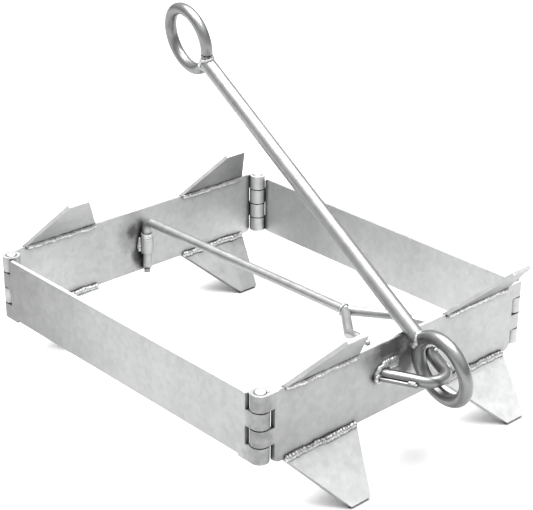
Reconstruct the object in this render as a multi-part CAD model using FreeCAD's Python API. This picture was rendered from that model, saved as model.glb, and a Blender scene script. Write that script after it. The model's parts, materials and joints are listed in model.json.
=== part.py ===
import FreeCAD, Part
import math
import os

from FreeCAD import Vector

# Folding box-frame grapnel anchor: two end plates with welded flukes, two side
# plates on rolled knuckle hinges, a Y-shaped lock bar, and a ringed shank that
# swings on a bail.  Millimetres.  +Z up, -Y forward (the direction of pull),
# +X to the right.  Shapes are drawn with z = 0 at the end plates' lower edge and
# are moved together, at the end, so that the origin is the bottom centre of the
# whole anchor as it stands on its lower flukes.

# Frame
HINGE_WIDTH = 420.0        # hinge axis to hinge axis, across
HINGE_LENGTH = 465.0       # hinge axis to hinge axis, front to rear
PLATE = 4.75               # plate thickness
END_PLATE_HEIGHT = 89.0
SIDE_PLATE_HEIGHT = 80.0
LEFT_SIDE_BOTTOM = 7.0     # the two side plates hang at slightly different heights
RIGHT_SIDE_BOTTOM = 2.5
END_PLATE_CORNER = 7.0     # rounded corners of the plates' ends
SIDE_PLATE_CORNER = 4.0

# Hinges
PIN_RADIUS = 6.35
PIN_CLEARANCE = 0.06       # radial running clearance in every knuckle
KNUCKLE_RADIUS = PIN_RADIUS + PLATE
KNUCKLE_BOTTOM = 4.0
KNUCKLE_TOP = 88.0
KNUCKLE_GAP = 1.5          # between one knuckle and the next
KNUCKLE_COUNT = 4
NOTCH_GAP = 0.6            # between a plate's edge and the other plate's knuckle
CURL_GAP = 0.8             # seam where the rolled plate comes round to itself
BORE_COUNTERSINK = 0.8     # at both mouths of every knuckle's bore
PIN_PROUD = 0.9            # peened pin ends stand this far out of the knuckles
PIN_CHAMFER = 0.7

# Flukes
FLUKE_BASE = 113.0         # width where it is welded
FLUKE_TIP = 30.0           # width of the cut tip
FLUKE_LENGTH = 80.6        # along the blade, from base to tip
FLUKE_OFFSET = 129.0       # fluke's centre from the middle of the plate
FLUKE_TIP_CORNER = 2.5
# Every blade was set by hand: how far its tip lies to +X, and its forward lean in degrees.
FLUKE_SETTING = {
    "front_left_upper": (-1.0, 41.5),
    "front_right_upper": (8.0, 45.0),
    "rear_left_upper": (-5.0, 40.0),
    "rear_right_upper": (1.0, 39.0),
    "front_left_lower": (9.0, 45.0),
    "front_right_lower": (19.0, 45.0),
    "rear_left_lower": (12.0, 45.0),
    "rear_right_lower": (19.0, 45.0),
}

# Pull line: lock bar, bail and shank all lie in this plane
PULL_X = 5.0

# Bail
BAIL_RADIUS = 7.0
BAIL_HEIGHT = 51.0
BAIL_FOOT = 40.0           # half the distance between the welded feet
BAIL_NOSE_HALF = 13.5
BAIL_REACH = 55.0          # face of the front plate to the nose's centre line
BAIL_BEND = 20.0
BRACE_RADIUS = 2.4
BRACE_LENGTH = 46.0
BRACE_DROP = 14.0          # degrees below the outside of the bail's leg

# Shank and rings
SHANK_RADIUS = 9.525
SHANK_TILT = 33.1          # degrees above level, at rest on the front plate's top edge
SHANK_ROLL = -12.0         # degrees about its own axis, as it has come to lie
REST_GAP = 0.3
RING_SPACING = 520.6       # centre of the lower ring to centre of the upper ring
LOWER_RING_BEHIND_NOSE = -0.4
LOWER_RING_RADIUS = 39.5   # to the bar's centre line
LOWER_RING_BAR = 8.1
UPPER_RING_RADIUS = 39.0
UPPER_RING_BAR = 7.3
RING_SEAM = 1.4            # open butt joint of the upper ring
RING_SEAM_ANGLE = 19.0     # degrees round the ring from the shank, on its upper side

# Lock bar
BAR_RADIUS = 6.0
BAR_CLEARANCE = 0.08
TUBE_RADIUS = 8.55
TUBE_BOTTOM = 28.5
TUBE_TOP = 50.5
WASHER_RADIUS = 8.2
WASHER_HEIGHT = 2.5
FACE_GAP = 0.2             # between faces that turn on each other
COLLAR_RADIUS = 8.2
COLLAR_HEIGHT = 3.5
BAR_HEIGHT_REAR = 75.0
BAR_HEIGHT_FORK = 81.0
BAR_BEND = 14.0
BAR_LIFT = 22.0            # free lift before the retaining end meets the tube
RETAINER_HEIGHT = 5.2
RETAINER_WIDTH = 16.0
RETAINER_THICKNESS = 8.0
RETAINER_TURN = 45.0
FORK_LUMP = 6.7            # radius of the weld where the arms leave the bar
FORK_BEHIND_FACE = 92.8    # fork's centre to the front plate's inner face
KNEE_SIDE = 40.0
KNEE_BEHIND_FACE = 47.0
RISE_SIDE = 48.0
RISE_BEHIND_FACE = 27.0
RISE_RADIUS = 5.2
TOE_SIDE = 54.0
TOE_GAP = 1.0
TOE_RADIUS = 3.6
# Each arm's own heights, of its centre line: at the knee, at the end of the rise, at the toe.
LEFT_PRONG_HEIGHTS = (81.5, 88.4, 91.3)
RIGHT_PRONG_HEIGHTS = (78.3, 77.0, 79.0)

# Worked out from the above
FRONT_AXIS_Y = -HINGE_LENGTH / 2
REAR_AXIS_Y = HINGE_LENGTH / 2
HALF_WIDTH = HINGE_WIDTH / 2
FRONT_FACE = FRONT_AXIS_Y - KNUCKLE_RADIUS
FRONT_INNER_FACE = FRONT_FACE + PLATE
REAR_FACE = REAR_AXIS_Y + KNUCKLE_RADIUS
REAR_INNER_FACE = REAR_FACE - PLATE
BORE_RADIUS = PIN_RADIUS + PIN_CLEARANCE
X_AXIS = Vector(1, 0, 0)
Y_AXIS = Vector(0, 1, 0)
Z_AXIS = Vector(0, 0, 1)
BEYOND = 400.0             # size of the blocks used as cutting half-spaces


def block(x, y, z):
    """A box from its three (low, high) ranges."""
    size = (x[1] - x[0], y[1] - y[0], z[1] - z[0])
    return Part.makeBox(*size, Vector(x[0], y[0], z[0]))


def round_bar(points, bend_radius, radius):
    """A round bar along straight runs joined by tangent arcs."""
    edges = []
    start = points[0]
    for before, corner, after in zip(points, points[1:], points[2:]):
        towards = (corner - before).normalize()
        away = (after - corner).normalize()
        turn = towards.getAngle(away)
        trim = bend_radius * math.tan(turn / 2)
        first = corner - towards * trim
        last = corner + away * trim
        inward = (away - towards).normalize()
        centre = corner + inward * (bend_radius / math.cos(turn / 2))
        middle = centre - inward * bend_radius
        edges.append(Part.LineSegment(start, first).toShape())
        edges.append(Part.Arc(first, middle, last).toShape())
        start = last
    edges.append(Part.LineSegment(start, points[-1]).toShape())
    heading = points[1] - points[0]
    profile = Part.Wire([Part.makeCircle(radius, points[0], heading)])
    return Part.Wire(edges).makePipeShell([profile], True, False)


def knuckle_ranges():
    """Heights of the knuckles from the top one down."""
    step = (KNUCKLE_TOP - KNUCKLE_BOTTOM + KNUCKLE_GAP) / KNUCKLE_COUNT
    tops = [KNUCKLE_TOP - step * i for i in range(KNUCKLE_COUNT)]
    return [(top - step + KNUCKLE_GAP, top) for top in tops]


def hinged_plate(half_length, bottom, height, corner, own, clear):
    """A plate along X with its outer face at -Y, rolled knuckles at both ends.

    The hinge axes are at x = -half_length and +half_length, y = 0.  `own` are the
    heights of its knuckles and `clear` those of the knuckles it makes room for.
    Its ends are bevelled to pass close round the other plate's knuckles.
    """
    outer = -KNUCKLE_RADIUS
    inner = outer + PLATE
    room_radius = KNUCKLE_RADIUS + NOTCH_GAP
    reach = half_length - room_radius
    lip = half_length - math.sqrt(room_radius ** 2 - inner ** 2)
    outline = [
        Vector(-reach, outer, bottom),
        Vector(reach, outer, bottom),
        Vector(lip, inner, bottom),
        Vector(-lip, inner, bottom),
    ]
    plate = Part.Face(Part.makePolygon(outline + outline[:1])).extrude(Z_AXIS * height)
    corners = [e for e in plate.Edges if is_end_corner(e, lip)]
    plate = plate.makeFillet(corner, corners)
    for side in (-1, 1):
        axis_x = side * half_length
        for low, high in own:
            foot = Vector(axis_x, 0, low)
            roll = Part.makeCylinder(KNUCKLE_RADIUS, high - low, foot)
            ends = sorted((axis_x, side * (reach - KNUCKLE_RADIUS)))
            tongue = block(ends, (outer, inner), (low, high))
            plate = plate.fuse([roll, tongue])
            plate = plate.cut(knuckle_bore(foot, high - low))
            seam_x = sorted((axis_x - side * BORE_RADIUS / 2, axis_x - side * 2 * KNUCKLE_RADIUS))
            seam = block(seam_x, (inner, inner + CURL_GAP), (low, high))
            plate = plate.cut(seam)
        for low, high in clear:
            foot = Vector(axis_x, 0, low - KNUCKLE_GAP)
            room = Part.makeCylinder(room_radius, high - low + 2 * KNUCKLE_GAP, foot)
            plate = plate.cut(room)
    return plate.removeSplitter()


def is_end_corner(edge, lip):
    """True for the four plate-thickness edges at a plate's ends."""
    box = edge.BoundBox
    across = box.YLength > PLATE / 2
    return across and abs(max(abs(box.XMin), abs(box.XMax)) - lip) < 0.01


def knuckle_bore(foot, height):
    """The pin's hole, countersunk at both ends."""
    mouth = BORE_RADIUS + BORE_COUNTERSINK
    bore = Part.makeCylinder(BORE_RADIUS, height, foot)
    lower = Part.makeCone(mouth, BORE_RADIUS, BORE_COUNTERSINK, foot)
    head = foot + Z_AXIS * (height - BORE_COUNTERSINK)
    upper = Part.makeCone(BORE_RADIUS, mouth, BORE_COUNTERSINK, head)
    return bore.fuse([lower, upper])


def front_plate():
    rows = knuckle_ranges()
    plate = hinged_plate(HALF_WIDTH, 0.0, END_PLATE_HEIGHT, END_PLATE_CORNER, rows[0::2], rows[1::2])
    plate.translate(Vector(0, FRONT_AXIS_Y, 0))
    return plate


def rear_plate():
    rows = knuckle_ranges()
    plate = hinged_plate(HALF_WIDTH, 0.0, END_PLATE_HEIGHT, END_PLATE_CORNER, rows[0::2], rows[1::2])
    plate.rotate(Vector(0, 0, 0), Z_AXIS, 180)
    plate.translate(Vector(0, REAR_AXIS_Y, 0))
    return plate


def side_plate(side, bottom):
    rows = knuckle_ranges()
    half = HINGE_LENGTH / 2
    plate = hinged_plate(half, bottom, SIDE_PLATE_HEIGHT, SIDE_PLATE_CORNER, rows[1::2], rows[0::2])
    plate.rotate(Vector(0, 0, 0), Z_AXIS, side * 90)
    plate.translate(Vector(side * HALF_WIDTH, 0, 0))
    return plate


def hinge_pin(x, y):
    bottom = KNUCKLE_BOTTOM - PIN_PROUD
    length = KNUCKLE_TOP - KNUCKLE_BOTTOM + 2 * PIN_PROUD
    pin = Part.makeCylinder(PIN_RADIUS, length, Vector(x, y, bottom))
    rims = [e for e in pin.Edges if len(e.Vertexes) == 1]
    return pin.makeChamfer(PIN_CHAMFER, rims)


def fluke(x, back_face, row):
    """A tapered blade welded on a plate's edge, leaning forward, flush at the back."""
    tip_shift, lean = FLUKE_SETTING[row]
    length = FLUKE_LENGTH
    skirt = 2 * PLATE
    half_base = FLUKE_BASE / 2
    base_y = back_face - PLATE / 2 / math.cos(math.radians(lean))
    tip = (tip_shift - FLUKE_TIP / 2, tip_shift + FLUKE_TIP / 2)
    outline = [
        Vector(-half_base, -PLATE / 2, -skirt),
        Vector(half_base, -PLATE / 2, -skirt),
        Vector(half_base, -PLATE / 2, 0),
        Vector(tip[1], -PLATE / 2, length),
        Vector(tip[0], -PLATE / 2, length),
        Vector(-half_base, -PLATE / 2, 0),
    ]
    face = Part.Face(Part.makePolygon(outline + outline[:1]))
    blade = face.extrude(Vector(0, PLATE, 0))
    tip_edges = [e for e in blade.Edges if e.BoundBox.YLength > PLATE / 2 and e.BoundBox.ZMin > length - 1]
    blade = blade.makeFillet(FLUKE_TIP_CORNER, tip_edges)
    blade.rotate(Vector(0, 0, 0), X_AXIS, lean)
    below = block((-BEYOND, BEYOND), (-BEYOND, BEYOND), (-BEYOND, 0))
    blade = blade.cut(below)
    if row.endswith("upper"):
        blade.translate(Vector(x, base_y, END_PLATE_HEIGHT))
        return blade
    blade = blade.mirror(Vector(0, 0, 0), Z_AXIS)
    blade.translate(Vector(x, base_y, 0))
    return blade


def bail():
    back = FRONT_INNER_FACE
    nose = FRONT_FACE - BAIL_REACH
    slope = (BAIL_FOOT - BAIL_NOSE_HALF) / BAIL_REACH
    inside = BAIL_FOOT + slope * PLATE
    points = [
        Vector(PULL_X - inside, back, BAIL_HEIGHT),
        Vector(PULL_X - BAIL_NOSE_HALF, nose, BAIL_HEIGHT),
        Vector(PULL_X + BAIL_NOSE_HALF, nose, BAIL_HEIGHT),
        Vector(PULL_X + inside, back, BAIL_HEIGHT),
    ]
    bow = round_bar(points, BAIL_BEND, BAIL_RADIUS)
    return bow.cut(block((-BEYOND, BEYOND), (FRONT_FACE, BEYOND), (-BEYOND, BEYOND)))


def bail_brace(side):
    """A thin round rod welded along the outer side of a bail leg."""
    nose = Vector(PULL_X + side * BAIL_NOSE_HALF, FRONT_FACE - BAIL_REACH, BAIL_HEIGHT)
    foot = Vector(PULL_X + side * BAIL_FOOT, FRONT_FACE, BAIL_HEIGHT)
    along = (nose - foot).normalize()
    outward = Vector(-along.y, along.x, 0) * (1 if side > 0 else -1)
    drop = math.radians(BRACE_DROP)
    apart = BAIL_RADIUS + BRACE_RADIUS
    offset = outward * (apart * math.cos(drop)) - Z_AXIS * (apart * math.sin(drop))
    start = foot + offset - along * PLATE
    rod = Part.makeCylinder(BRACE_RADIUS, BRACE_LENGTH + PLATE, start, along)
    return rod.cut(block((-BEYOND, BEYOND), (FRONT_FACE, BEYOND), (-BEYOND, BEYOND)))


def lower_ring_centre():
    """The ring's centre, set so that the shank lies on the front plate's top edge."""
    y = FRONT_FACE - BAIL_REACH + LOWER_RING_BEHIND_NOSE
    tilt = math.radians(SHANK_TILT)
    over = (FRONT_FACE - y) * math.sin(tilt) - (SHANK_RADIUS + REST_GAP)
    return Vector(PULL_X, y, END_PLATE_HEIGHT - over / math.cos(tilt))


def laid_to_rest(shape):
    """Moves a shank piece, drawn along +Y from the lower ring's centre, to its place at rest."""
    shape.rotate(Vector(0, 0, 0), Y_AXIS, SHANK_ROLL)
    shape.rotate(Vector(0, 0, 0), X_AXIS, SHANK_TILT)
    shape.translate(lower_ring_centre())
    return shape


def whole_lower_ring():
    return Part.makeTorus(LOWER_RING_RADIUS, LOWER_RING_BAR, Vector(0, 0, 0), X_AXIS)


def whole_upper_ring():
    return Part.makeTorus(UPPER_RING_RADIUS, UPPER_RING_BAR, Y_AXIS * RING_SPACING, X_AXIS)


def lower_ring():
    return laid_to_rest(whole_lower_ring())


def upper_ring():
    """A bent ring whose ends meet at a narrow open seam."""
    depth = 4 * UPPER_RING_BAR
    seam = block((-depth, depth), (UPPER_RING_RADIUS - depth / 2, UPPER_RING_RADIUS + depth / 2),
                 (-RING_SEAM / 2, RING_SEAM / 2))
    seam.rotate(Vector(0, 0, 0), X_AXIS, 180 - RING_SEAM_ANGLE)
    seam.translate(Y_AXIS * RING_SPACING)
    return laid_to_rest(whole_upper_ring().cut(seam))


def shank():
    """The round bar between the rings, cut to sit against both."""
    start = Y_AXIS * LOWER_RING_RADIUS
    length = RING_SPACING - LOWER_RING_RADIUS - UPPER_RING_RADIUS
    bar = Part.makeCylinder(SHANK_RADIUS, length, start, Y_AXIS)
    lower = disc(Vector(0, 0, 0), LOWER_RING_RADIUS)
    upper = disc(Y_AXIS * RING_SPACING, UPPER_RING_RADIUS)
    return laid_to_rest(bar.cut([whole_lower_ring(), whole_upper_ring(), lower, upper]))


def disc(centre, radius):
    """The inside of a ring, out to its bar's centre line."""
    return Part.makeCylinder(radius, 4 * SHANK_RADIUS, centre - X_AXIS * 2 * SHANK_RADIUS, X_AXIS)


def pivot_point():
    """Axis of the lock bar's upright leg."""
    return Vector(PULL_X, REAR_INNER_FACE - TUBE_RADIUS, 0)


def lock_tube():
    foot = pivot_point() + Z_AXIS * TUBE_BOTTOM
    height = TUBE_TOP - TUBE_BOTTOM
    tube = Part.makeCylinder(TUBE_RADIUS, height, foot)
    return tube.cut(Part.makeCylinder(BAR_RADIUS + BAR_CLEARANCE, height, foot))


def lock_washer():
    foot = pivot_point() + Z_AXIS * (TUBE_TOP + FACE_GAP)
    washer = Part.makeCylinder(WASHER_RADIUS, WASHER_HEIGHT, foot)
    return washer.cut(Part.makeCylinder(BAR_RADIUS + BAR_CLEARANCE, WASHER_HEIGHT, foot))


def lock_collar():
    foot = pivot_point() + Z_AXIS * (TUBE_TOP + 2 * FACE_GAP + WASHER_HEIGHT)
    collar = Part.makeCylinder(COLLAR_RADIUS, COLLAR_HEIGHT, foot)
    return collar.cut(Part.makeCylinder(BAR_RADIUS, COLLAR_HEIGHT, foot))


def fork_point():
    return Vector(PULL_X, FRONT_INNER_FACE + FORK_BEHIND_FACE, BAR_HEIGHT_FORK)


def retainer_top():
    return TUBE_BOTTOM - BAR_LIFT - REST_GAP


def lock_bar_rod():
    pivot = pivot_point()
    points = [pivot + Z_AXIS * retainer_top(), pivot + Z_AXIS * BAR_HEIGHT_REAR, fork_point()]
    return round_bar(points, BAR_BEND, BAR_RADIUS)


def lock_bar_retainer():
    """The flattened lower end that keeps the bar from lifting out of its tube."""
    half = RETAINER_WIDTH / 2
    thin = RETAINER_THICKNESS / 2
    low = retainer_top() - RETAINER_HEIGHT
    tab = block((-half, half), (-thin, thin), (low, retainer_top()))
    tab = tab.common(Part.makeCylinder(half, RETAINER_HEIGHT, Vector(0, 0, low)))
    tab.rotate(Vector(0, 0, 0), Z_AXIS, RETAINER_TURN)
    tab.translate(pivot_point())
    return tab


def tapered_run(start, end, start_radius, end_radius):
    """A round run whose ends are capped by balls, tangent to the cone between them."""
    heading = end - start
    balls = [Part.makeSphere(start_radius, start), Part.makeSphere(end_radius, end)]
    if abs(start_radius - end_radius) < 1e-6:
        body = Part.makeCylinder(start_radius, heading.Length, start, heading)
        return balls[0].fuse([balls[1], body])
    slope = math.asin((start_radius - end_radius) / heading.Length)
    unit = Vector(heading).normalize()
    first = start + unit * (start_radius * math.sin(slope))
    last = end + unit * (end_radius * math.sin(slope))
    shrink = math.cos(slope)
    body = Part.makeCone(start_radius * shrink, end_radius * shrink, (last - first).Length, first, unit)
    return balls[0].fuse([balls[1], body])


def prong(side, heights):
    """One arm of the fork: out to a knee, on to the front plate, and a rounded toe."""
    face = FRONT_INNER_FACE
    knee = Vector(PULL_X + side * KNEE_SIDE, face + KNEE_BEHIND_FACE, heights[0])
    rise = Vector(PULL_X + side * RISE_SIDE, face + RISE_BEHIND_FACE, heights[1])
    toe = Vector(PULL_X + side * TOE_SIDE, face + TOE_GAP + TOE_RADIUS, heights[2])
    arm = tapered_run(fork_point(), knee, BAR_RADIUS, BAR_RADIUS)
    arm = arm.fuse(tapered_run(knee, rise, BAR_RADIUS, RISE_RADIUS))
    arm = arm.fuse(tapered_run(rise, toe, RISE_RADIUS, TOE_RADIUS))
    return arm.removeSplitter()


def left_arm():
    """The left arm with the round weld that joins the fork."""
    return prong(-1, LEFT_PRONG_HEIGHTS).fuse(Part.makeSphere(FORK_LUMP, fork_point()))


def left_prong():
    return left_arm().cut(lock_bar_rod())


def right_prong():
    return prong(1, RIGHT_PRONG_HEIGHTS).cut([lock_bar_rod(), left_arm()])


def build():
    """Every sub-part by node name."""
    parts = {
        "front_plate": front_plate(),
        "rear_plate": rear_plate(),
        "left_side_plate": side_plate(-1, LEFT_SIDE_BOTTOM),
        "right_side_plate": side_plate(1, RIGHT_SIDE_BOTTOM),
        "bail": bail(),
        "left_bail_brace": bail_brace(-1),
        "right_bail_brace": bail_brace(1),
        "lower_ring": lower_ring(),
        "upper_ring": upper_ring(),
        "shank": shank(),
        "lock_tube": lock_tube(),
        "lock_washer": lock_washer(),
        "lock_bar_collar": lock_collar(),
        "lock_bar_rod": lock_bar_rod(),
        "lock_bar_retainer": lock_bar_retainer(),
        "lock_bar_left_prong": left_prong(),
        "lock_bar_right_prong": right_prong(),
    }
    ends = (("front", FRONT_AXIS_Y, FRONT_INNER_FACE), ("rear", REAR_AXIS_Y, REAR_FACE))
    for end, axis_y, back_face in ends:
        for name, side in (("left", -1), ("right", 1)):
            parts[f"{end}_{name}_hinge_pin"] = hinge_pin(side * HALF_WIDTH, axis_y)
            for row in (f"{end}_{name}_upper", f"{end}_{name}_lower"):
                parts[f"{row}_fluke"] = fluke(side * FLUKE_OFFSET, back_face, row)
    return parts


def origin_shift():
    """Move to the bottom centre: ring to rear plate along Y, fluke tips at the bottom."""
    lean_y = math.sin(math.radians(SHANK_ROLL)) * math.sin(math.radians(SHANK_TILT))
    ring_reach = LOWER_RING_RADIUS * math.sqrt(1 - lean_y ** 2) + LOWER_RING_BAR
    front = lower_ring_centre().y - ring_reach
    lean = math.radians(FLUKE_SETTING["front_left_lower"][1])
    depth = FLUKE_LENGTH * math.cos(lean) + PLATE / 2 * math.sin(lean)
    return Vector(0, -(front + REAR_FACE) / 2, depth)


def main():
    os.makedirs("parts", exist_ok=True)
    shift = origin_shift()
    for name, shape in build().items():
        shape.translate(shift)
        solids = shape.Solids
        solid = solids[0] if len(solids) == 1 else Part.makeCompound(solids)
        solid.exportStep(f"parts/{name}.step")


main()
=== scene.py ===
import json
import math

import bpy
from mathutils import Matrix, Vector, noise


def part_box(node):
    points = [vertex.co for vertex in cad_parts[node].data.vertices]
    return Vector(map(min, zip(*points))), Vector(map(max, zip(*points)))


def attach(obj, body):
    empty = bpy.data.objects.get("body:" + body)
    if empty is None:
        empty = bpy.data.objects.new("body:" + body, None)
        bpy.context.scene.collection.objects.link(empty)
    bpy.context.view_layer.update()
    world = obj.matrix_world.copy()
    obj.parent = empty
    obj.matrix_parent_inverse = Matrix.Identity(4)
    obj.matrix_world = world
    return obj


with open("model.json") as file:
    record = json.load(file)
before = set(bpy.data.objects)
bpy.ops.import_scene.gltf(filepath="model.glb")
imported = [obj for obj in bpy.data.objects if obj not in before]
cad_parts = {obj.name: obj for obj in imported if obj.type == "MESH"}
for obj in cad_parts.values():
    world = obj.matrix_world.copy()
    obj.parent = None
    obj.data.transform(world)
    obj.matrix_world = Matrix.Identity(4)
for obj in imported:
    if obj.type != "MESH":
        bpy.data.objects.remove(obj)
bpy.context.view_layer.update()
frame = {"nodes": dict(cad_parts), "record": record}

# A folding box grapnel anchor in hot-dip galvanised steel.  The CAD nodes are
# shown as they are, with procedural galvanised finishes.  This script adds the
# weld beads, the studio and the camera.  Metres, in the CAD model's frame.

MM = 0.001
X = Vector((1, 0, 0))
Y = Vector((0, 1, 0))
Z = Vector((0, 0, 1))

# ---------------------------------------------------------------- sizes

# Sizes that the frame's boxes don't give
PLATE = 4.75 * MM
FLUKE_OFFSET = 129.0 * MM      # fluke's centre from the middle of the plate
FLUKE_HALF_BASE = 55.0 * MM
BAIL_RADIUS = 7.0 * MM
BAIL_FOOT = 40.0 * MM          # half the distance between the bail's feet
BAIL_NOSE_HALF = 13.5 * MM
BAIL_REACH = 55.0 * MM         # face of the front plate to the nose's centre line
BAIL_HEIGHT = 51.0 * MM        # over the front plate's lower edge
BRACE_RADIUS = 2.4 * MM
BRACE_LENGTH = 46.0 * MM
BRACE_DROP = math.radians(14.0)
SHANK_RADIUS = 9.525 * MM
SHANK_TILT = math.radians(33.1)
SHANK_ROLL = math.radians(-12.0)
LOWER_RING = (39.5 * MM, 8.1 * MM)     # to the bar's centre line, and the bar's own radius
UPPER_RING = (39.0 * MM, 7.3 * MM)
TUBE_RADIUS = 8.55 * MM
BAR_RADIUS = 6.0 * MM
FORK_BEHIND_FACE = 92.8 * MM
FORK_HEIGHT = 81.0 * MM        # over the front plate's lower edge


def centre(node):
    low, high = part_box(node)
    return (low + high) / 2


# Places that the frame's boxes give
front_low, front_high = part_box("front_plate")
FRONT_FACE = front_low.y
FRONT_INNER = FRONT_FACE + PLATE
REAR_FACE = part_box("rear_plate")[1].y
REAR_INNER = REAR_FACE - PLATE
EDGE_LOW = front_low.z
MIDDLE_Z = EDGE_LOW + 0.045
HALF_FRAME = front_high.x
PULL_X = centre("bail").x
BAIL_Z = EDGE_LOW + BAIL_HEIGHT
TUBE = centre("lock_tube")
FORK = Vector((PULL_X, FRONT_INNER + FORK_BEHIND_FACE, EDGE_LOW + FORK_HEIGHT))

# ---------------------------------------------------------------- node trees


class Nodes:
    """Short ways to build one material's node tree."""

    def __init__(self, tree):
        self.tree = tree

    def add(self, kind, **values):
        node = self.tree.nodes.new(kind)
        for key, value in values.items():
            setattr(node, key, value)
        return node

    def link(self, source, target):
        if isinstance(source, (int, float, tuple)):
            target.default_value = source
        else:
            self.tree.links.new(source, target)

    def math(self, operation, a, b=0.0, clamp=False):
        node = self.add("ShaderNodeMath", operation=operation, use_clamp=clamp)
        self.link(a, node.inputs[0])
        self.link(b, node.inputs[1])
        return node.outputs[0]

    def noise(self, place, scale, detail=3.0, roughness=0.5, stretch=None):
        node = self.add("ShaderNodeTexNoise")
        node.inputs["Scale"].default_value = scale
        node.inputs["Detail"].default_value = detail
        node.inputs["Roughness"].default_value = roughness
        if stretch:
            mapping = self.add("ShaderNodeMapping")
            mapping.inputs["Scale"].default_value = stretch
            self.link(place, mapping.inputs["Vector"])
            place = mapping.outputs[0]
        self.link(place, node.inputs["Vector"])
        return node.outputs["Fac"]

    def spread(self, value, low, high, to_low, to_high):
        """`value` mapped from low..high to to_low..to_high, and held at both ends."""
        node = self.add("ShaderNodeMapRange")
        for name, amount in (("Value", value), ("From Min", low), ("From Max", high),
                             ("To Min", to_low), ("To Max", to_high)):
            self.link(amount, node.inputs[name])
        return node.outputs[0]

    def painted_corner_shade(self, distance, darkest):
        """Painted shade in corners: `darkest` deep in a corner, rising to 1 in the open."""
        node = self.add("ShaderNodeAmbientOcclusion", samples=6)
        node.inputs["Distance"].default_value = distance
        return self.spread(node.outputs["AO"], 0.35, 0.92, darkest, 1.0)

    def painted_facing_light(self, darkest, top_highlight):
        """Painted shade and highlight by the way a face looks: `darkest` on faces that look down,
        1 on those that lean up, and the highlight's strength on level tops.
        """
        split = self.add("ShaderNodeSeparateXYZ")
        self.link(self.add("ShaderNodeNewGeometry").outputs["Normal"], split.inputs[0])
        body = self.spread(split.outputs[2], -0.75, 0.55, darkest, 1.0)
        top = self.spread(split.outputs[2], 0.80, 0.98, 1.0, top_highlight)
        return self.math("MULTIPLY", body, top)

    def patch(self, place, middle, size, ragged):
        """1 inside a ragged ellipsoid, falling softly to 0 outside it."""
        away = self.add("ShaderNodeVectorMath", operation="SUBTRACT")
        self.link(place, away.inputs[0])
        away.inputs[1].default_value = middle
        scaled = self.add("ShaderNodeVectorMath", operation="DIVIDE")
        self.link(away.outputs[0], scaled.inputs[0])
        scaled.inputs[1].default_value = size
        length = self.add("ShaderNodeVectorMath", operation="LENGTH")
        self.link(scaled.outputs[0], length.inputs[0])
        edge = self.math("ADD", length.outputs["Value"], ragged)
        return self.spread(edge, 1.25, 0.55, 0.0, 1.0)

    def tinted(self, value, red, green):
        """The grey `value` as a colour, with its red and green scaled."""
        colour = self.add("ShaderNodeCombineColor")
        self.link(self.math("MULTIPLY", value, red), colour.inputs[0])
        self.link(self.math("MULTIPLY", value, green), colour.inputs[1])
        self.link(value, colour.inputs[2])
        return colour.outputs[0]

    def relief(self, height, strength, distance, normal=None):
        """A shading normal raised by `height`, over `normal` where one is given."""
        node = self.add("ShaderNodeBump")
        node.inputs["Strength"].default_value = strength
        node.inputs["Distance"].default_value = distance
        self.link(height, node.inputs["Height"])
        if normal is not None:
            self.link(normal, node.inputs["Normal"])
        return node.outputs[0]

    def metal(self, metallic, colour, roughness, normal):
        """The shader and the material's output."""
        shader = self.add("ShaderNodeBsdfPrincipled")
        shader.inputs["Metallic"].default_value = metallic
        self.link(colour, shader.inputs["Base Color"])
        self.link(roughness, shader.inputs["Roughness"])
        self.link(normal, shader.inputs["Normal"])
        output = self.add("ShaderNodeOutputMaterial")
        self.link(shader.outputs[0], output.inputs["Surface"])


def empty_material(name):
    """A material without nodes, its node helper, and the object's own coordinates."""
    material = bpy.data.materials.new(name)
    material.use_nodes = True
    material.node_tree.nodes.clear()
    n = Nodes(material.node_tree)
    return material, n, n.add("ShaderNodeTexCoord").outputs["Object"]


# ---------------------------------------------------------------- materials

# Scales of the zinc's patterns, per metre
CLOUD_SCALE = 11.0
STAIN_SCALE = 46.0
RUN_SCALE = 60.0
RUN_STRETCH = (1.0, 1.0, 0.16)     # the runs are drawn out along Z
GRAIN_SCALE = 900.0
CRYSTAL_SCALE = 150.0
RAGGED_SCALE = 70.0

# How far each pattern moves the shade or the roughness
STAIN_SHARE = 0.5                  # of the clouds' own amount
RUN_SHARE = 0.35
GRAIN_SHADE = 0.03
STAIN_ROUGHNESS = 0.07
CRYSTAL_ROUGHNESS = 0.03
DARK_PATCH_ROUGHNESS = 0.12
RAGGED_EDGE = 0.45
PALE_EDGE = 0.15                   # a pale patch's outline, as a share of a dark patch's

EDGE_RADIUS = 0.9 * MM             # edges are shaded as if rounded by this
EDGE_WEAR = 0.16                   # and are brighter by this
CORNER_REACH = 9 * MM              # painted shade reaches this far out of a corner
CORNER_SHADE = 0.06
RELIEF_DEPTH = 1.2 * MM


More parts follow.
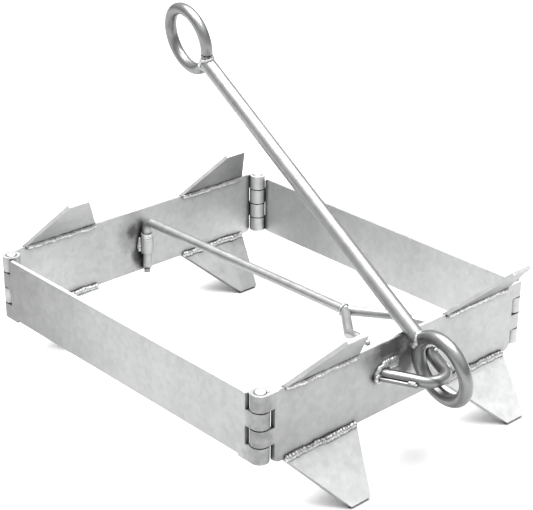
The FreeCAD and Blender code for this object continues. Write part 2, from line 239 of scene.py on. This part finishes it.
def galvanised(name, tone, rough, metallic=0.75, spangle=0.05, mottle=0.07, underside_shade=0.72,
               top_highlight=1.5, burns_and_shade=(), pale_and_lit=(), bump=0.12):
    """Hot-dip galvanised steel: mottled zinc, faint crystals, bright rounded edges, with painted
    shade in corners and on faces that look down, and a painted highlight on level tops.

    Dark patches (centre, size, strength) are scorched zinc and painted shade, pale ones spattered
    zinc and painted light, in the model's own frame.
    """
    material, n, place = empty_material(name)

    clouds = n.noise(place, CLOUD_SCALE, 4.0, 0.55)
    stains = n.noise(place, STAIN_SCALE, 5.0, 0.6)
    runs = n.noise(place, RUN_SCALE, 3.0, 0.5, RUN_STRETCH)
    grain = n.noise(place, GRAIN_SCALE, 2.0, 0.6)
    crystals = n.add("ShaderNodeTexVoronoi")
    crystals.inputs["Scale"].default_value = CRYSTAL_SCALE
    n.link(place, crystals.inputs["Vector"])
    crystal = n.add("ShaderNodeSeparateColor")
    n.link(crystals.outputs["Color"], crystal.inputs[0])

    shade = n.spread(clouds, 0.3, 0.7, 1 - mottle, 1 + mottle)
    stain = mottle * STAIN_SHARE
    shade = n.math("ADD", shade, n.spread(stains, 0.3, 0.7, -stain, stain))
    run = mottle * RUN_SHARE
    shade = n.math("ADD", shade, n.spread(runs, 0.3, 0.7, -run, run))
    shade = n.math("ADD", shade, n.spread(crystal.outputs[0], 0.0, 1.0, -spangle, spangle))
    shade = n.math("ADD", shade, n.spread(grain, 0.3, 0.7, -GRAIN_SHADE, GRAIN_SHADE))

    soft = n.add("ShaderNodeBevel", samples=4)
    soft.inputs["Radius"].default_value = EDGE_RADIUS
    flat = n.add("ShaderNodeNewGeometry")
    facing = n.add("ShaderNodeVectorMath", operation="DOT_PRODUCT")
    n.link(soft.outputs[0], facing.inputs[0])
    n.link(flat.outputs["Normal"], facing.inputs[1])
    edge = n.spread(facing.outputs["Value"], 0.99, 0.80, 0.0, 1.0)
    worn = n.math("MULTIPLY", edge, n.spread(stains, 0.35, 0.65, 0.4, 1.0))
    shade = n.math("MULTIPLY", shade, n.math("ADD", 1.0, n.math("MULTIPLY", worn, EDGE_WEAR)))

    roughness = n.math(
        "ADD",
        n.spread(stains, 0.25, 0.75, rough - STAIN_ROUGHNESS, rough + STAIN_ROUGHNESS),
        n.spread(crystal.outputs[1], 0.0, 1.0, -CRYSTAL_ROUGHNESS, CRYSTAL_ROUGHNESS))
    ragged = n.spread(n.noise(place, RAGGED_SCALE, 4.0, 0.6), 0.2, 0.8, -RAGGED_EDGE, RAGGED_EDGE)
    # Dark patches: scorched zinc, and painted shade and shadow
    for middle, size, strength in burns_and_shade:
        mask = n.patch(place, middle, size, ragged)
        scorch_and_shade = n.math("SUBTRACT", 1.0, n.math("MULTIPLY", mask, strength))
        shade = n.math("MULTIPLY", shade, scorch_and_shade)
        roughness = n.math("ADD", roughness, n.math("MULTIPLY", mask, DARK_PATCH_ROUGHNESS))
    # Pale patches: spattered zinc, and painted light
    faint = n.math("MULTIPLY", ragged, PALE_EDGE)
    for middle, size, strength in pale_and_lit:
        mask = n.patch(place, middle, size, faint)
        glow = n.math("ADD", 1.0, n.math("MULTIPLY", mask, strength))
        shade = n.math("MULTIPLY", shade, glow)

    # Painted shade in corners and crevices, from ambient occlusion
    shade = n.math("MULTIPLY", shade, n.painted_corner_shade(CORNER_REACH, CORNER_SHADE))
    # Painted shade on faces that look down, painted highlight on level tops
    shade = n.math("MULTIPLY", shade, n.painted_facing_light(underside_shade, top_highlight))
    value = n.math("MULTIPLY", shade, tone, clamp=True)
    broad = n.math("ADD", stains, n.math("MULTIPLY", clouds, 1.5))
    height = n.math("ADD", n.math("MULTIPLY", grain, 0.25), broad)
    normal = n.relief(height, bump, RELIEF_DEPTH, soft.outputs[0])
    n.metal(metallic, n.tinted(value, 0.990, 0.997), roughness, normal)
    return material


def weld_metal(name, tone, rough):
    """Zinc over a weld: lumpy, with dark pits and bright crowns, and painted shade in its
    crevices.
    """
    material, n, place = empty_material(name)
    lumps = n.noise(place, 190.0, 4.0, 0.6)
    pits = n.noise(place, 620.0, 3.0, 0.65)
    clouds = n.noise(place, 40.0, 2.0, 0.5)
    crowns = n.spread(lumps, 0.3, 0.7, 0.80, 1.14)
    shade = n.math("ADD", crowns, n.spread(clouds, 0.3, 0.7, -0.08, 0.08))
    dark = n.spread(pits, 0.50, 0.36, 0.0, 0.62)
    # Painted shade in the bead's crevices and along its foot, from ambient occlusion
    shade = n.math("MULTIPLY", n.math("SUBTRACT", shade, dark), n.painted_corner_shade(4 * MM, 0.30))
    value = n.math("MULTIPLY", shade, tone, clamp=True)
    roughness = n.spread(lumps, 0.3, 0.7, rough + 0.1, rough - 0.08)
    height = n.math("ADD", lumps, n.math("MULTIPLY", pits, 0.4))
    normal = n.relief(height, 0.35, 0.8 * MM)
    n.metal(0.8, n.tinted(value, 0.990, 0.996), roughness, normal)
    return material


# ---------------------------------------------------------------- weld beads

RING_STEPS = 12                # points round a bead's section
BEAD_STEP = 0.9 * MM           # from one section to the next
WELD = weld_metal("weld_zinc", 0.60, 0.36)

# The vector noise's offsets come from this seed, and from the clock where none is set
NOISE_SEED = 7
noise.seed_set(NOISE_SEED)

# Noise along a bead, per metre, and its amount: where the pools lie, how far the
# run wanders, how thick it is, and how lumpy its skin is
POOL_NOISE, POOL_SHIFT = 160, 0.35
PATH_NOISE, PATH_WANDER = 110, 0.28
SIZE_NOISE, SIZE_CHANGE = 75, 0.22
SKIN_NOISE, SKIN_LUMPS = 320, 0.16


def spaced(points, step):
    """Points along a polyline, about `step` apart."""
    found = [points[0]]
    for start, end in zip(points, points[1:]):
        count = max(1, round((end - start).length / step))
        found += [start.lerp(end, (i + 1) / count) for i in range(count)]
    return found


def bead_vertices(path, radius, ripple, seed, closed, flat):
    """Rings of points round `path`, swelling and shrinking like overlapping pools."""
    count = len(path)
    vertices = []
    travelled = 0.0
    side = None
    for i, point in enumerate(path):
        before = path[i - 1] if closed or i > 0 else path[0]
        after = path[(i + 1) % count] if closed or i < count - 1 else path[-1]
        heading = (after - before).normalized()
        if side is None:
            steep = abs(heading.z) >= 0.9
            rough_up = Vector((1.0, 0.2, 0.3)) if steep else Vector((0.3, 0.2, 1.0))
            side = heading.cross(rough_up).normalized()
        side = (side - heading * side.dot(heading)).normalized()
        up = heading.cross(side)

        shift = POOL_SHIFT * noise.noise(Vector((travelled * POOL_NOISE, seed, 0)))
        phase = (travelled / ripple + shift) % 1.0
        swell = 0.86 + 0.22 * (1 - phase) ** 0.7
        wander = noise.noise_vector(Vector((travelled * PATH_NOISE, seed, 3.7)))
        middle = point + (side * wander.x + up * wander.y) * radius * PATH_WANDER
        change = SIZE_CHANGE * noise.noise(Vector((travelled * SIZE_NOISE, seed, 9.1)))
        size = radius * swell * (1 + change)
        if not closed:
            from_end = min(i, count - 1 - i) / max(1.0, radius / BEAD_STEP)
            size *= math.sqrt(min(1.0, 0.12 + from_end * (2 - min(from_end, 1.0))))

        for k in range(RING_STEPS):
            angle = 2 * math.pi * k / RING_STEPS
            direction = side * math.cos(angle) + up * math.sin(angle) * flat
            lump = 1 + SKIN_LUMPS * noise.noise((middle + direction * size) * SKIN_NOISE)
            vertices.append(middle + direction * size * lump)
        if i + 1 < count:
            travelled += (path[i + 1] - point).length
    return vertices


def bead_faces(count, closed):
    """Quads from ring to ring, and a cap at each end of an open run."""
    faces = []
    for i in range(count if closed else count - 1):
        for k in range(RING_STEPS):
            a = i * RING_STEPS + k
            b = i * RING_STEPS + (k + 1) % RING_STEPS
            c = (i + 1) % count * RING_STEPS + (k + 1) % RING_STEPS
            d = (i + 1) % count * RING_STEPS + k
            faces.append((a, b, c, d))
    if not closed:
        faces.append(tuple(range(RING_STEPS - 1, -1, -1)))
        faces.append(tuple((count - 1) * RING_STEPS + k for k in range(RING_STEPS)))
    return faces


def bead(name, points, radius, body, ripple=4.2 * MM, seed=0.0, closed=False, flat=1.0):
    """A run of weld: a closed lumpy tube along `points`, riding on `body`."""
    path = spaced(points, BEAD_STEP)
    if closed:
        path = path[:-1]
    vertices = bead_vertices(path, radius, ripple, seed, closed, flat)
    mesh = bpy.data.meshes.new(name)
    mesh.from_pydata([tuple(v) for v in vertices], [], bead_faces(len(path), closed))
    for face in mesh.polygons:
        face.use_smooth = True
    mesh.update()
    piece = bpy.data.objects.new(name, mesh)
    bpy.context.scene.collection.objects.link(piece)
    mesh.materials.append(WELD)
    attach(piece, body)


def ring_points(middle, across, along, radius, steps=28):
    """Points round a circle."""
    angles = [math.radians(360.0 * i / steps) for i in range(steps + 1)]
    return [middle + (across * math.cos(a) + along * math.sin(a)) * radius for a in angles]


def saddle_points(middle, heading, ring, steps=40):
    """The line where the shank meets a ring, `heading` pointing from ring to shank."""
    major, minor = ring
    lean = math.sin(SHANK_ROLL)
    across = Vector((math.cos(SHANK_ROLL), math.sin(SHANK_TILT) * lean,
                     -math.cos(SHANK_TILT) * lean))
    normal = heading.cross(across)
    found = []
    for i in range(steps + 1):
        angle = 2 * math.pi * i / steps
        x = SHANK_RADIUS * math.cos(angle)
        t = SHANK_RADIUS * math.sin(angle)
        reach = major + math.sqrt(max(minor ** 2 - x ** 2, 0.0))
        found.append(middle + across * x + normal * t + heading * math.sqrt(reach ** 2 - t ** 2))
    return found


def fluke_beads():
    """One run along the forward side of each fluke's base."""
    seed = 1.0
    for end, face in (("front", FRONT_FACE), ("rear", REAR_INNER)):
        for name, side in (("left", -1), ("right", 1)):
            for level in ("upper", "lower"):
                low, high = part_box(f"{end}_{name}_{level}_fluke")
                out = 1 if level == "upper" else -1
                z = (low.z if level == "upper" else high.z) - out * 0.6 * MM
                y = face - 1.4 * MM
                middle_x = side * FLUKE_OFFSET
                start = Vector((middle_x - FLUKE_HALF_BASE, y, z))
                finish = Vector((middle_x + FLUKE_HALF_BASE, y, z))
                bead(f"weld_{end}_{name}_{level}", [start, finish], 4.2 * MM, f"{end}_frame",
                     ripple=5.6 * MM, seed=seed)
                seed += 7.3


def bail_beads():
    """Weld round and over the bail's feet, round the braces' feet and at their ends."""
    body = "front_frame"
    for name, side in (("left", -1), ("right", 1)):
        foot = Vector((PULL_X + side * BAIL_FOOT, FRONT_FACE - 0.6 * MM, BAIL_Z))
        nose = Vector((PULL_X + side * BAIL_NOSE_HALF, FRONT_FACE - BAIL_REACH, BAIL_Z))
        bead(f"weld_bail_{name}_foot", ring_points(foot, X, Z, BAIL_RADIUS + 1.4 * MM),
             3.5 * MM, body, ripple=5.2 * MM, seed=31.0 + side, closed=True)

        patch = [foot + Vector((0, 0, 8.5 * MM)), foot + Vector((-side * 27 * MM, 0, 8.0 * MM))]
        bead(f"weld_bail_{name}_patch", patch, 3.6 * MM, body, ripple=3.4 * MM,
             seed=23.0 + side, flat=1.9)

        along = (nose - foot).normalized()
        outward = Vector((-along.y, along.x, 0)) * side
        lean = outward * math.cos(BRACE_DROP) - Z * math.sin(BRACE_DROP)
        brace = foot + lean * (BAIL_RADIUS + BRACE_RADIUS)
        bead(f"weld_brace_{name}_foot", ring_points(brace, X, Z, BRACE_RADIUS + 1.0 * MM),
             2.8 * MM, body, ripple=4.4 * MM, seed=37.0 + side, closed=True)

        seam = foot + lean * BAIL_RADIUS + Z * 1.5 * MM + outward * 1.5 * MM
        tack = [seam + along * (BRACE_LENGTH - 12 * MM), seam + along * (BRACE_LENGTH - 2 * MM)]
        bead(f"weld_brace_{name}_tack", tack, 2.4 * MM, body, ripple=4.0 * MM,
             seed=43.0 + side)


def fork_bead():
    """Weld round the lock bar where its two prongs leave it."""
    place = FORK + Y * 1.5 * MM
    bead("weld_fork", ring_points(place, X, Z, BAR_RADIUS + 0.3 * MM), 2.0 * MM,
         "lock_bar", ripple=3.6 * MM, seed=61.0, closed=True)


def tube_beads():
    """An upright run on each side of the lock tube."""
    low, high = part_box("lock_tube")
    y = REAR_INNER - 2.2 * MM
    for name, side in (("left", -1), ("right", 1)):
        x = TUBE.x + side * TUBE_RADIUS * 0.86
        start = Vector((x, y, low.z + 0.5 * MM))
        finish = Vector((x, y, high.z - 0.5 * MM))
        bead(f"weld_tube_{name}", [start, finish], 3.6 * MM, "rear_frame",
             ripple=5.0 * MM, seed=51 + side)


def shank_beads():
    """Weld where the shank meets each of its rings."""
    heading = Vector((0, math.cos(SHANK_TILT), math.sin(SHANK_TILT)))
    bead("weld_lower_ring", saddle_points(centre("lower_ring"), heading, LOWER_RING),
         2.6 * MM, "shank", seed=71.0, closed=True)
    bead("weld_upper_ring", saddle_points(centre("upper_ring"), -heading, UPPER_RING),
         2.3 * MM, "shank", seed=83.0, closed=True)


fluke_beads()
bail_beads()
fork_bead()
tube_beads()
shank_beads()

# ---------------------------------------------------------------- finishes

# Patches on the plates, as (centre, size, strength)
SKIN = 2.8 * MM                # thin patches stay on the face they are put on
KNUCKLE = 0.011                # from a corner's outside to the middle of its knuckles
# Painted shade: tall dark strips on the plates in the corners by the hinge knuckles
KNUCKLE_SHADE_SIZE = (0.014, 0.014, 0.10)
NEAR_KNUCKLE_SHADE = ((-HALF_FRAME + KNUCKLE, FRONT_FACE + KNUCKLE, MIDDLE_Z), KNUCKLE_SHADE_SIZE, 0.34)
FAR_KNUCKLE_SHADE = ((-HALF_FRAME + KNUCKLE, REAR_FACE - KNUCKLE, MIDDLE_Z), KNUCKLE_SHADE_SIZE, 0.42)
# Broad brighter stretches of the side plates: partly the zinc's own uneven tone, partly painted
# light where the light falls on them
LEFT_PALE_AND_LIT = (
    ((-HALF_FRAME, FRONT_FACE + 0.06, MIDDLE_Z), (0.10, 0.32, 0.30), 0.95),
)
RIGHT_PALE_AND_LIT = (
    ((HALF_FRAME, FRONT_FACE, MIDDLE_Z), (0.10, 0.16, 0.30), 0.24),
    ((HALF_FRAME, REAR_FACE, MIDDLE_Z), (0.10, 0.10, 0.30), 0.24),
)
# Scorched zinc at the bail's welds, and painted shadow of the bail between its legs
BAIL_BURNS_AND_SHADOW = (
    ((PULL_X - 0.020, FRONT_FACE, BAIL_Z + 0.027), (0.036, SKIN, 0.013), 0.72),
    # painted shadow of the bail on the plate between its legs
    ((PULL_X + 0.004, FRONT_FACE, BAIL_Z + 0.004), (0.020, SKIN, 0.022), 0.72),
    ((PULL_X + 0.040, FRONT_FACE, BAIL_Z + 0.004), (0.014, SKIN, 0.014), 0.50),
)
# A small pale spot of spattered zinc by the bail, and a broad brighter stretch on the front
# plate's right half, partly uneven zinc, partly painted light
FRONT_PALE_AND_LIT = (
    ((PULL_X - 0.004, FRONT_FACE, BAIL_Z + 0.026), (0.009, SKIN, 0.011), 0.9),
    ((0.13, FRONT_FACE, MIDDLE_Z), (0.25, 0.10, 0.30), 0.24),
)
TUBE_BURNS = (
    ((TUBE.x - 0.016, REAR_INNER, TUBE.z + 0.020), (0.010, SKIN, 0.012), 0.62),
    ((TUBE.x - 0.010, REAR_INNER, TUBE.z - 0.014), (0.011, SKIN, 0.013), 0.70),
    ((TUBE.x - 0.024, REAR_INNER, TUBE.z + 0.016), (0.018, SKIN, 0.022), 0.22),
)
# Broad brighter stretches at both ends of the rear plate: partly the zinc's own uneven tone,
# partly painted light
REAR_PALE_AND_LIT = (
    ((-HALF_FRAME, REAR_INNER, MIDDLE_Z), (0.12, 0.10, 0.30), 0.26),
    ((HALF_FRAME, REAR_INNER, MIDDLE_Z), (0.10, 0.10, 0.30), 0.18),
)

# The finish of each slot, where a node has none of its own
FINISHES = {
    "galvanised_fluke": galvanised("galvanised_fluke", 0.62, 0.42, underside_shade=0.33),
    "galvanised_bar": galvanised("galvanised_bar", 0.29, 0.33, metallic=0.95, mottle=0.12,
                                 underside_shade=0.46, top_highlight=1.0),
    "zinc_plated_pin": galvanised("zinc_plated_pin", 0.56, 0.40, mottle=0.14),
}
LOCK_FINISH = galvanised("galvanised_lock_bar", 0.45, 0.38, metallic=0.85, mottle=0.10,
                         underside_shade=0.60, top_highlight=1.0)
OWN_FINISHES = {
    # The plates' tones differ from plate to plate as painted light and shade; the left plate is
    # darkest, with a strong painted highlight on its level top
    "left_side_plate": galvanised("galvanised_left_plate", 0.215, 0.46, top_highlight=3.4,
                                  burns_and_shade=(NEAR_KNUCKLE_SHADE,), pale_and_lit=LEFT_PALE_AND_LIT),
    "right_side_plate": galvanised("galvanised_right_plate", 0.41, 0.44, pale_and_lit=RIGHT_PALE_AND_LIT),
    "front_plate": galvanised("galvanised_front_plate", 0.36, 0.44,
                              burns_and_shade=BAIL_BURNS_AND_SHADOW + (NEAR_KNUCKLE_SHADE,), pale_and_lit=FRONT_PALE_AND_LIT),
    "rear_plate": galvanised("galvanised_rear_plate", 0.43, 0.44,
                             burns_and_shade=TUBE_BURNS + (FAR_KNUCKLE_SHADE,), pale_and_lit=REAR_PALE_AND_LIT),
    # Lit and shaded copies of one fluke finish: each fluke's tone and the darkness of its
    # undersides are painted light and shade
    "front_left_upper_fluke": galvanised("galvanised_fluke_a", 0.62, 0.42, underside_shade=0.62),
    "rear_left_upper_fluke": galvanised("galvanised_fluke_b", 0.62, 0.42, underside_shade=0.66),
    "front_left_lower_fluke": galvanised("galvanised_fluke_c", 0.68, 0.42, underside_shade=0.33),
    "front_right_lower_fluke": galvanised("galvanised_fluke_d", 0.80, 0.42, underside_shade=0.33),
    "rear_right_lower_fluke": galvanised("galvanised_fluke_e", 0.38, 0.42, underside_shade=0.33),
    "shank": galvanised("galvanised_shank", 0.34, 0.40, metallic=0.9, mottle=0.08, top_highlight=1.0),
    "lock_bar_rod": LOCK_FINISH,
    "lock_bar_left_prong": LOCK_FINISH,
    "lock_bar_right_prong": LOCK_FINISH,
    "lock_tube": galvanised("galvanised_lock_tube", 0.44, 0.42, mottle=0.14, top_highlight=1.0),
}
slot_of = {part["node"]: part["material_slot"] for part in frame["record"]["subparts"]}
for node_name, node in frame["nodes"].items():
    finish = OWN_FINISHES.get(node_name) or FINISHES[slot_of[node_name]]
    for place in node.material_slots:
        place.material = finish

# ---------------------------------------------------------------- studio

FLOOR_HALF = 9.0
FLOOR_TONE = (0.81, 0.83)

# The sky's strength near the horizon and overhead, and how much brighter it is on the -X
# side than on the +X side
SKY_LEVEL = 0.36
SKY_TOP = 1.15
SKY_TILT = 0.10

# The softbox over the anchor
SOFTBOX_PLACE = (0.1, 0.1, 2.2)
SOFTBOX_TARGET = (0.0, 0.0, 0.2)
SOFTBOX_SIZE = (2.4, 2.0)
SOFTBOX_WATTS = 105.0

# Camera, at the photograph's viewing angle
CAMERA_PLACE = (-1.146, -1.19463, 0.9354)
CAMERA_HEADING = math.radians(42.93)   # from +Y towards +X
CAMERA_DOWN = math.radians(24.53)
CAMERA_ROLL = math.radians(0.66)
CAMERA_LENS = 101.45
SENSOR_WIDTH = 36.0


def studio_floor():
    """A plain pale sheet of paper, large enough to reach the horizon."""
    size = FLOOR_HALF
    mesh = bpy.data.meshes.new("floor")
    corners = [(-size, -size, 0), (size, -size, 0), (size, size, 0), (-size, size, 0)]
    mesh.from_pydata(corners, [], [(0, 1, 2, 3)])
    floor = bpy.data.objects.new("floor", mesh)
    bpy.context.scene.collection.objects.link(floor)
    material = bpy.data.materials.new("floor_paper")
    material.use_nodes = True
    n = Nodes(material.node_tree)
    shader = material.node_tree.nodes["Principled BSDF"]
    paper = n.noise(n.add("ShaderNodeTexCoord").outputs["Object"], 240.0, 2.0)
    tone = n.spread(paper, 0.3, 0.7, *FLOOR_TONE)
    colour = n.add("ShaderNodeCombineColor")
    for channel in range(3):
        n.link(tone, colour.inputs[channel])
    n.link(colour.outputs[0], shader.inputs["Base Color"])
    shader.inputs["Roughness"].default_value = 0.9
    shader.inputs["Specular IOR Level"].default_value = 0.1
    mesh.materials.append(material)


def studio_sky():
    """White light from all round, stronger from above."""
    world = bpy.data.worlds.new("studio")
    bpy.context.scene.world = world
    world.use_nodes = True
    n = Nodes(world.node_tree)
    background = world.node_tree.nodes["Background"]
    split = n.add("ShaderNodeSeparateXYZ")
    n.link(n.add("ShaderNodeTexCoord").outputs["Generated"], split.inputs[0])
    height = n.spread(split.outputs[2], 0.02, 0.75, SKY_LEVEL, SKY_TOP)
    tilt = n.spread(split.outputs[0], -0.9, 0.9, SKY_TILT, -SKY_TILT)
    n.link(n.math("ADD", height, tilt), background.inputs["Strength"])
    background.inputs["Color"].default_value = (1.0, 1.0, 1.0, 1.0)


def softbox():
    light = bpy.data.lights.new("softbox_top", "AREA")
    light.shape = "RECTANGLE"
    light.size, light.size_y = SOFTBOX_SIZE
    light.energy = SOFTBOX_WATTS
    lamp = bpy.data.objects.new("softbox_top", light)
    bpy.context.scene.collection.objects.link(lamp)
    lamp.location = SOFTBOX_PLACE
    aim = Vector(SOFTBOX_TARGET) - Vector(SOFTBOX_PLACE)
    lamp.rotation_euler = aim.to_track_quat("-Z", "Y").to_euler()


def camera():
    forward = Vector((math.sin(CAMERA_HEADING) * math.cos(CAMERA_DOWN),
                      math.cos(CAMERA_HEADING) * math.cos(CAMERA_DOWN),
                      -math.sin(CAMERA_DOWN)))
    level = Vector((math.cos(CAMERA_HEADING), -math.sin(CAMERA_HEADING), 0.0))
    upright = level.cross(forward)
    right = level * math.cos(CAMERA_ROLL) + upright * math.sin(CAMERA_ROLL)
    up = upright * math.cos(CAMERA_ROLL) - level * math.sin(CAMERA_ROLL)
    lens = bpy.data.cameras.new("camera")
    lens.sensor_width = SENSOR_WIDTH
    lens.lens = CAMERA_LENS
    lens.clip_end = 50.0
    viewer = bpy.data.objects.new("camera", lens)
    bpy.context.scene.collection.objects.link(viewer)
    turned = Matrix((right, up, -forward)).transposed().to_4x4()
    viewer.matrix_world = Matrix.Translation(CAMERA_PLACE) @ turned
    bpy.context.scene.camera = viewer


studio_floor()
studio_sky()
softbox()
camera()
bpy.context.scene.view_settings.view_transform = "Standard"
